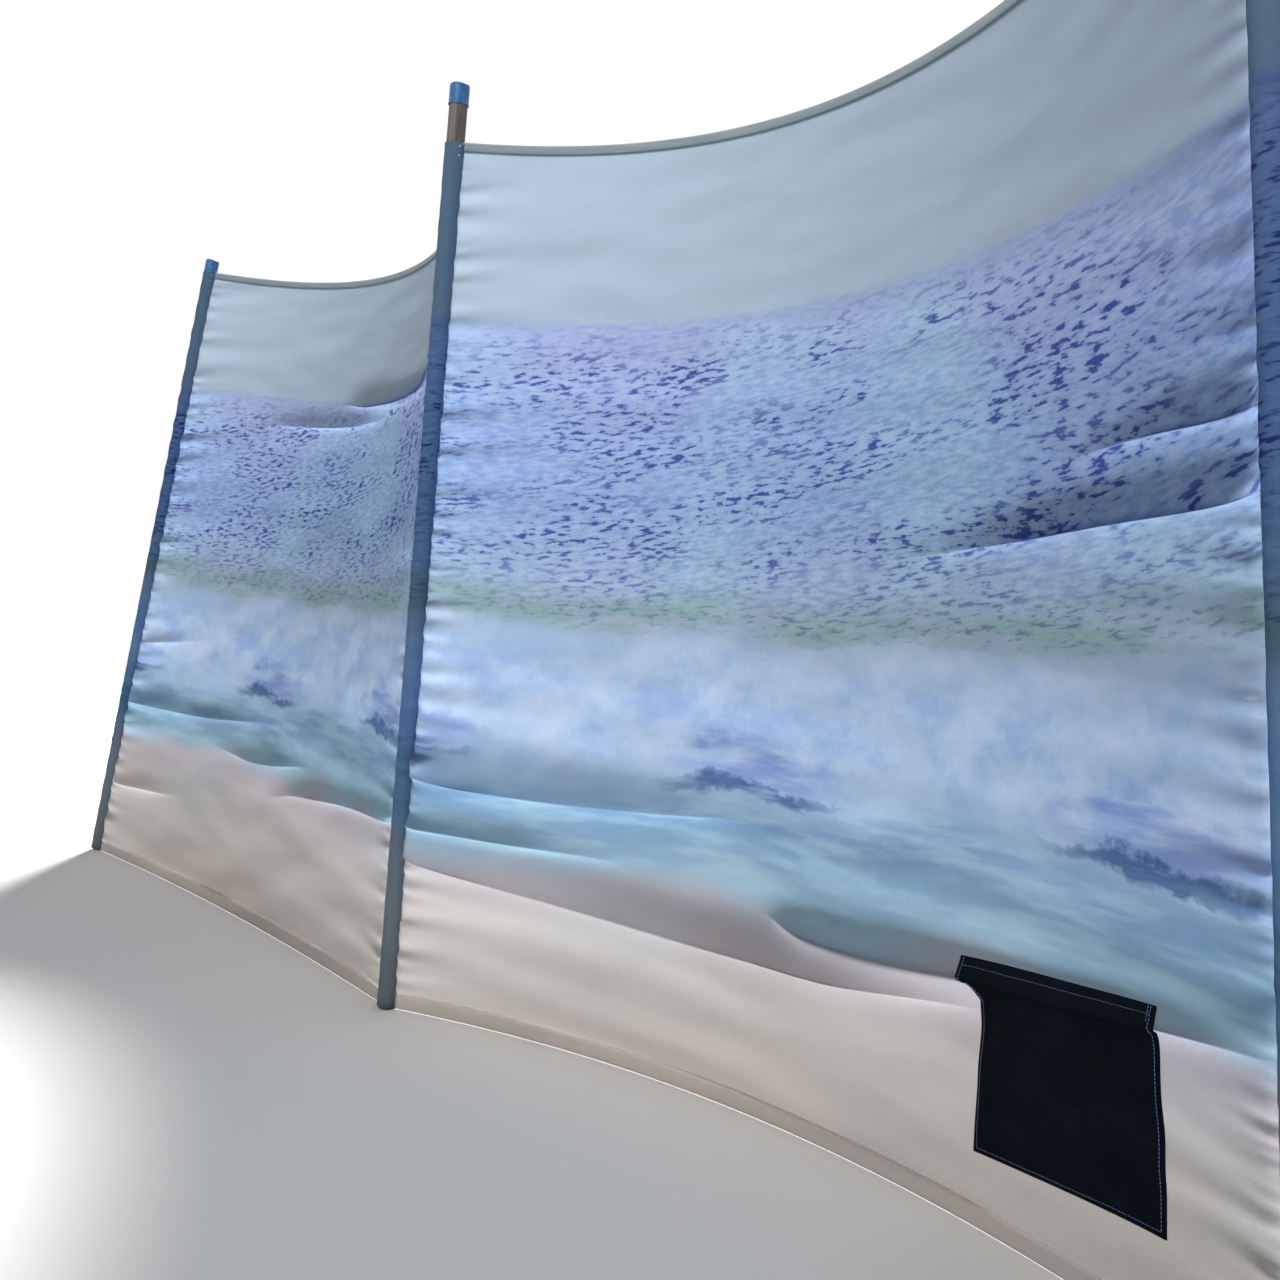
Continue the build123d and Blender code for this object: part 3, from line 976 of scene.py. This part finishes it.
# its sides: levels up the pocket, and their shares of the bay
POCKET_LEFT = ((0.0, 0.86, 1.0, 2.0), (0.731, 0.7375, 0.7195, 0.7145))
POCKET_RIGHT = ((0.0, 2.0), (0.909, 0.9055))
POCKET_BASE = (0.072, 0.088)                      # the lower corners' height
POCKET_BAND = 0.0115                              # its top above the fold that crosses it
POCKET_DROP = 0.155                               # its base below that fold
POCKET_WIDE, POCKET_TALL = 0.203, 0.175           # its cloth, as cut
POCKET_WALL = 0.0012
POCKET_SEAM = 0.0042                              # the stitches' distance from its edges


def pocket_surface(along, level):
    """The pocket's front: along is 0 to 1 across, level 0 at its base and 2 at its top.

    Level 1 is the line on which the bay's fold crosses it. It stands 2.2 mm off
    the cloth, and swells below the fold by 7.5 mm times the sines of along and
    level to powers below one. Waves ripple it away from its edges, and within
    7 mm of them it is doubled. The band over the fold is wider to the left than
    the rest.
    """
    left, right = np.interp(level, *POCKET_LEFT), np.interp(level, *POCKET_RIGHT)
    across = left + along * (right - left)
    ridge = through(FOLDS[POCKET_BAY][1][0], across)
    base = POCKET_BASE[0] + along * (POCKET_BASE[1] - POCKET_BASE[0])
    height = np.where(level < 1, base + level * (ridge - base), ridge + (level - 1) * POCKET_BAND)
    points, _, _, front = bay_frame(POCKET_BAY, across, height)
    lower = np.clip(level, 0, 1)
    swell = 0.0022 + 0.0075 * np.sin(np.pi * along) ** 0.7 * np.sin(np.pi * lower) ** 0.8
    ripple = waves((along * 0.2, level * 0.1), 7, seed=5, low=0.05, high=0.13)
    rim = np.minimum(POCKET_WIDE * np.minimum(along, 1 - along),
                     np.minimum(level * POCKET_DROP, (2 - level) * POCKET_BAND))
    swell += 0.0011 * ripple * np.tanh(rim / 0.01) + 0.0006 * (1 - smooth_step(rim, 0.006, 0.0085))
    return points + swell[..., None] * front, front


def make_pocket():
    """A patch of black nylon on the cloth, hemmed all round, that folds with it.

    Its rows crowd a little towards the fold, as even steps to the power of 0.8.
    """
    columns, rows = (96, 150) if fine else (50, 70)
    band = 24                      # rows over the fold
    level = np.concatenate([np.linspace(0, 1, rows - band)[:-1] ** 0.8,
                            np.linspace(1, 2, band + 1)])
    level, along = np.meshgrid(level, np.linspace(0, 1, columns), indexing="ij")
    points, _ = pocket_surface(along, level)
    up = np.where(level < 1, level * POCKET_DROP, POCKET_DROP + (level - 1) * POCKET_BAND)
    bag = surface("pocket_patch", points, np.stack([along * POCKET_WIDE, up], -1), NYLON)
    thicken(bag, POCKET_WALL, offset=-1.0)
    put(bag, "pocket_cloth", "pocket", "pocket_flap")
    left, right = POCKET_SEAM / POCKET_WIDE, 1 - POCKET_SEAM / POCKET_WIDE
    low, high, top = POCKET_SEAM / POCKET_DROP, 2 - 0.0060 / POCKET_BAND, 1.95
    # rows up the left, along the band, down the right, beside it, and along the base
    runs = [(left, left, low, top), (left, right, high, high), (right, right, top, low),
            (right - 0.012, right - 0.012, top, 1.10), (right, left, low, low)]
    rows = []
    for number, (start, end, first, last) in enumerate(runs, 1):
        path, front = pocket_surface(np.linspace(start, end, 300), np.linspace(first, last, 300))
        rows.append(stitches(f"pocket_stitches_{number}", path + 0.0003 * front, front,
                             depth=0.0012, pitch=0.0034, length=0.0029, width=0.0008,
                             thread=THREAD_SLATE))


# The studio

def background_seen(tree):
    """One where a ray shows the background: to the camera, in gloss or through glass.

    Light scattered through cloth is a diffuse ray too, and isn't counted.
    """
    ray = "ShaderNodeLightPath"
    clear = add(tree, MATH, (add(tree, ray, out="Is Transmission Ray"),
                             add(tree, ray, out="Is Diffuse Ray")), operation="SUBTRACT")
    seen = add(tree, MATH, (add(tree, ray, out="Is Camera Ray"),
                            add(tree, ray, out="Is Glossy Ray")), operation="MAXIMUM")
    return add(tree, MATH, (seen, clear), operation="MAXIMUM")


def lamp(name, place, target, size, power):
    """A square soft box that looks at a target.

    It tilts by the angle whose tangent is level distance over drop, and turns to
    the target's side.
    """
    data = bpy.data.lights.new(name, "AREA")
    data.size = size
    data.energy = power
    light = in_scene(name, data)
    light.visible_camera = False
    aim = np.array(target, float) - np.array(place)
    light.location = place
    light.rotation_euler = (math.atan2(math.hypot(aim[0], aim[1]), -aim[2]), 0,
                            math.atan2(-aim[0], aim[1]))


def make_studio():
    """A pale paper floor that runs out into a white background, and two soft lamps."""
    floor_mesh = bpy.data.meshes.new("studio_floor")
    corners = [(-30, -30, 0), (30, -30, 0), (30, 30, 0), (-30, 30, 0)]
    floor_mesh.from_pydata(corners, [], [(0, 1, 2, 3)])
    floor = in_scene("studio_floor", floor_mesh)
    material, tree = new_material("studio_floor_paper")
    # it is seen pale, and throws less light back on the cloth than it shows
    seen = background_seen(tree)
    pale = add(tree, MIX, {0: seen, 6: colour("#8D8C86"), 7: colour("#E9E7E3")}, **COLOURS)
    paper = add(tree, PRINCIPLED, {"Base Color": pale, "Roughness": 0.9, "Specular IOR Level": 0.0})
    glow = add(tree, "ShaderNodeEmission", (colour("#FFFFFF"), 1.0))
    place = add(tree, COORDINATES, out="Object")
    reach = add(tree, "ShaderNodeVectorMath", (place,), out="Value", operation="LENGTH")
    # the paper turns into background from 3.4 to 5.9 m out
    far = add(tree, MATH, (reach, 0.40, -1.35), **CLIPPED)
    fade = add(tree, MATH, (far, seen), **TIMES)
    add(tree, SURFACE, (add(tree, MIX_SHADERS, (fade, paper, glow)),))
    floor_mesh.materials.append(material)

    world = bpy.data.worlds.new("studio")
    bpy.context.scene.world = world
    world.use_nodes = True
    tree = world.node_tree
    tree.nodes.clear()
    seen = background_seen(tree)
    soft = add(tree, "ShaderNodeBackground", (colour("#F1F4FA"), 0.24))
    white = add(tree, "ShaderNodeBackground", (colour("#FFFFFF"), 1.0))
    add(tree, "ShaderNodeOutputWorld", (add(tree, MIX_SHADERS, (seen, soft, white)),))

    lamp("behind", (-4.1, 5.6, 8.5), (-0.5, 0.1, 0.6), size=1.7, power=1950)
    lamp("front", (1.0, -4.2, 3.0), (-0.6, 0.0, 0.6), size=3.0, power=135)


def make_camera():
    """The photograph's camera, turned by its roll, then its pitch, then its heading."""
    data = bpy.data.cameras.new("photo_camera")
    data.sensor_width = CAMERA_SENSOR
    data.lens = CAMERA_SENSOR
    data.clip_start = 0.02
    camera = in_scene("photo_camera", data)
    camera.location = CAMERA_PLACE
    camera.rotation_mode = "XYZ"
    turn = (Matrix.Rotation(math.radians(CAMERA_HEADING), 4, "Z")
            @ Matrix.Rotation(math.radians(90 + CAMERA_PITCH), 4, "X")
            @ Matrix.Rotation(math.radians(CAMERA_ROLL), 4, "Z"))
    camera.rotation_euler = turn.to_euler()
    bpy.context.scene.camera = camera


make_camera()
make_studio()
for number in range(1, BAYS + 1):
    make_bay(number)
    make_edges(number)
for number in range(1, POLES + 1):
    make_pole(number)
    make_sleeve(number)
make_pocket()

bpy.context.scene.view_settings.view_transform = "Standard"
